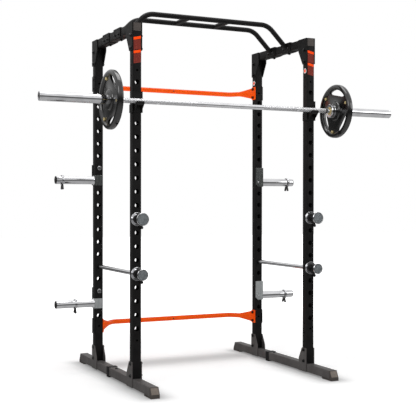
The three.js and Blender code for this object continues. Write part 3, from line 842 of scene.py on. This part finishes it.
def spring_clip(name, place):
    """Coil of wire round a peg, whose ends run down into two rubber levers that splay."""
    (_, y, z), turn = place
    piece = Piece(f"{name}_clip_wire")
    coil = []
    for i in range(COIL_TURNS * COIL_STEPS + 1):
        angle = math.radians(-108) + 2 * math.pi * i / COIL_STEPS
        coil.append((COIL_PITCH * (i / COIL_STEPS - COIL_TURNS / 2), COIL_RADIUS * math.cos(angle),
                     COIL_RADIUS * math.sin(angle)))
    outward = Vector((1, 0, 0))
    ends = []
    for way in (-1, 1):
        centre = Vector((way * 2.5, way * 15, -39))
        slope = Vector((0, -way * math.sin(LEVER_LEAN), math.cos(LEVER_LEAN)))
        ends.append([centre + slope * 11, centre, centre - slope * 10])
        piece.sweep([centre + slope * s for s in (15, 14, 9, 0, -8, -13, -16.5, -17.6)],
                    [4.6, 6.0, 6.7, 6.3, 6.5, 6.8, 6.2, 4.4], grip_rubber, 16, outward)
    piece.sweep(ends[0][::-1] + coil[1:-3] + ends[1], 2.1, chrome, 10, outward)
    here = middle(f"{name}_spring_clip")
    piece.done(f"{name}_clip_body", [f"{name}_spring_clip"],
               (here[0], y, z - PEG_DROP), turn, bevel=0)


for side, sign in SIDES.items():
    for level, (height, coat) in PEG_LEVELS.items():
        name = f"{side}_{level}"
        place = (sign * FRAME_X, UPRIGHT_Y, height), 0 if sign < 0 else math.pi
        peg_bracket(name, place, coat)
        peg_tube(name, place)
        peg_plug(name, place)
        spring_clip(name, place)

# ---------- safety rods and spool pegs ----------
ROD_RADIUS, KNOB_LENGTH = 12.2, 88.0
LEVER_RADIUS, LEVER_TIP_RADIUS, LEVER_LENGTH, LEVER_TURN = 24.0, 8.0, 53.0, 0.48
ROD_FACE = -HALF - GAP
RODS = (("safety_rod", "safety_body", HOLES[4], 31), ("spool_peg", "spool_body", HOLES[8], 35))


def locking_rod(side, node, body, at, rim):
    """Rod with a flange against the upright and a spool-shaped knob in front of it."""
    piece = Piece(f"{side}_{node}_bar")
    end = span(f"{side}_{node}")[1][1] + UPRIGHT_Y
    tip, face = ROD_FACE - KNOB_LENGTH, ROD_FACE
    piece.lathe([
        (tip + 1.5, 0), (tip + 1.5, rim - 5), (tip, rim - 4), (tip, rim - 1.4), (tip + 1.4, rim),
        (tip + 6.6, rim), (tip + 8, rim - 1.2), (tip + 34, 15), (face - 7, 15), (face - 5, 17),
        (face - 5, 36), (face - 4, 37), (face - 0.8, 37), (face, 36.2), (face, ROD_RADIUS),
        (end - 2, ROD_RADIUS), (end, ROD_RADIUS - 2), (end, 0)], "y", chrome, segments=56)
    piece.lathe([(tip + 1.6, 0), (tip + 1.6, rim - 5.2), (tip + 1.0, rim - 5.6), (tip + 1.0, 0)],
                "y", satin_steel, segments=56)
    piece.done(f"{side}_{body}", [f"{side}_{node}"], at, bevel=0)


def locking_lever(side, node, at):
    """Flat lever that turns on the rod: a round head narrowing to a rounded tip."""
    piece = Piece(f"{side}_{node}_arm")
    back = ROD_FACE - 5.3
    front = back - 6
    outline = []
    for i in range(25):
        angle = math.radians(-70 + 320 * i / 24)
        outline.append((LEVER_RADIUS * math.cos(angle), LEVER_RADIUS * math.sin(angle)))
    for i in range(9):
        angle = math.pi * (1 + i / 8)
        outline.append((LEVER_TIP_RADIUS * math.cos(angle),
                        LEVER_TIP_RADIUS * math.sin(angle) - LEVER_LENGTH))
    c, s = math.cos(LEVER_TURN), math.sin(LEVER_TURN)
    turned = [(x * s + z * c, x * c - z * s) for x, z in outline]
    piece.prism(turned, "y", front, back, cap_plastic)
    piece.lathe([(front - 1.5, 0), (front - 1.5, 18), (front, 20), (front, 0)], "y", cap_plastic)
    bore = Piece("bore")
    bore.prism(circle(15.6, 40), "y", front - 4, back + 1, cap_plastic)
    piece.done(f"{side}_{node}_lock", [f"{side}_{node}_lever"], at, bevel=1.0,
               cutter=bore)


for side, sign in SIDES.items():
    for node, body, height, rim in RODS:
        at = (sign * FRAME_X, -UPRIGHT_Y, height)
        locking_rod(side, node, body, at, rim)
        locking_lever(side, node, at)

# ---------- floor and light ----------
FLOOR_REACH, FLOOR_Z = 20.0, -0.0008
# Painted shade on the floor's colour and glow, along each rail and in a band between their rear halves.
RAIL_SHADE, RAIL_HALF_WIDTH, RAIL_HALF_LENGTH, RAIL_SOFTNESS = 0.42, 0.02, 0.58, 0.08
BAND_SHADE, BAND_Y, BAND_DEPTH, BAND_HALF_LENGTH, BAND_SOFTNESS = 0.41, 0.4, 0.165, 0.47, 0.1
# Brightness of reflections from straight below, at 0, to straight above, at 1.
SKY_LEVELS = ((0.2, 0.6), (0.32, 0.42), (0.42, 0.1), (0.52, 0.1), (0.6, 0.6), (0.68, 1.1))


def floor_finish():
    """White floor that glows more with distance, with the cage's soft shade painted into its colour and
    its glow.
    """
    g = Graph("floor_white")
    place = g.add("TexCoord").outputs["Object"]
    x, y, _ = g.add("SeparateXYZ", None, Vector=place).outputs
    aside = g.math("ABSOLUTE", x)

    def bell(distance, width):
        squared = g.math("POWER", g.math("DIVIDE", distance, width), 2.0)
        return g.math("EXPONENT", g.math("MULTIPLY", squared, -1.0))

    def beyond(value, limit):
        return g.math("MAXIMUM", g.math("SUBTRACT", value, limit), 0.0)

    beside = beyond(g.math("ABSOLUTE", g.math("SUBTRACT", aside, FRAME_X * MM)), RAIL_HALF_WIDTH)
    past = beyond(g.math("ABSOLUTE", y), RAIL_HALF_LENGTH)
    rails = g.math("MULTIPLY", bell(beside, RAIL_SOFTNESS), bell(past, RAIL_SOFTNESS))
    behind = bell(g.math("SUBTRACT", y, BAND_Y), BAND_DEPTH)
    band = g.math("MULTIPLY", behind, bell(beyond(aside, BAND_HALF_LENGTH), BAND_SOFTNESS))
    shade = g.math("MAXIMUM", g.math("MULTIPLY", rails, RAIL_SHADE),
                   g.math("MULTIPLY", band, BAND_SHADE))
    # light is what the painted shade leaves; it darkens both the floor's colour and its glow.
    light = g.math("SUBTRACT", 1.0, shade)
    grain = g.ramp(g.noise(place, 2.0), 0.3, 0.7, 0.87, 0.9)
    g.feed(g.shader.inputs["Base Color"], g.math("MULTIPLY", grain, light))
    g.shader.inputs["Roughness"].default_value = 0.85
    g.shader.inputs["Specular IOR Level"].default_value = 0.0
    distance = g.add("VectorMath", {"operation": "LENGTH"}, s0=place).outputs["Value"]
    glow = g.ramp(distance, 1.2, 3.2, 0.34, 1.0)
    g.shader.inputs["Emission Color"].default_value = (1, 1, 1, 1)
    g.feed(g.shader.inputs["Emission Strength"], g.math("MULTIPLY", glow, light))
    return g.material


def floor():
    """The plain floor, just under the feet, which metal does not reflect."""
    data = bpy.data.meshes.new("floor")
    corners = ((-1, -1), (1, -1), (1, 1), (-1, 1))
    data.from_pydata([(x * FLOOR_REACH, y * FLOOR_REACH, FLOOR_Z) for x, y in corners],
                     [], [(0, 1, 2, 3)])
    data.materials.append(floor_finish())
    made = bpy.data.objects.new("floor", data)
    made.visible_glossy = False
    scene.collection.objects.link(made)


def studio_world():
    """White to the camera, dark at the horizon and light overhead in reflections, else even grey."""
    world = bpy.data.worlds.new("studio")
    world.use_nodes = True
    nodes, link = world.node_tree.nodes, world.node_tree.links.new
    direction = nodes.new("ShaderNodeTexCoord")
    parts = nodes.new("ShaderNodeSeparateXYZ")
    lift = nodes.new("ShaderNodeMapRange")
    lift.inputs[1].default_value = -1.0
    shades = nodes.new("ShaderNodeValToRGB")
    rays = nodes.new("ShaderNodeLightPath")
    room, seen = nodes.new("ShaderNodeMix"), nodes.new("ShaderNodeMix")
    room.data_type = seen.data_type = "RGBA"
    room.inputs[6].default_value = (0.5, 0.5, 0.5, 1)
    seen.inputs[7].default_value = (1, 1, 1, 1)
    link(direction.outputs["Generated"], parts.inputs[0])
    link(parts.outputs[2], lift.inputs[0])
    link(lift.outputs[0], shades.inputs[0])
    link(rays.outputs["Is Glossy Ray"], room.inputs[0])
    link(shades.outputs[0], room.inputs[7])
    link(rays.outputs["Is Camera Ray"], seen.inputs[0])
    link(room.outputs[2], seen.inputs[6])
    link(seen.outputs[2], nodes["Background"].inputs[0])
    stops = shades.color_ramp.elements
    stops[0].color = (0.6, 0.6, 0.6, 1)
    stops[1].color = (1.05, 1.05, 1.05, 1)
    for position, level in SKY_LEVELS:
        stops.new(position).color = (level, level, level, 1)
    scene.world = world


def soft_light(name, place, target, size, power):
    """Square lamp that faces a target."""
    data = bpy.data.lights.new(name, "AREA")
    data.shape = "RECTANGLE"
    data.size = data.size_y = size
    data.energy = power
    lamp = bpy.data.objects.new(name, data)
    scene.collection.objects.link(lamp)
    lamp.location = place
    lamp.rotation_euler = (Vector(target) - Vector(place)).to_track_quat("-Z", "Y").to_euler()


floor()
studio_world()
soft_light("key", (-4.5, -3.5, 4.2), (0, 0, 1.0), 2.0, 55)
soft_light("fill", (4.5, -4.5, 3.2), (0, 0, 1.0), 2.0, 35)
soft_light("top", (0, 0, 5.5), (0, 0, 0), 3.0, 90)
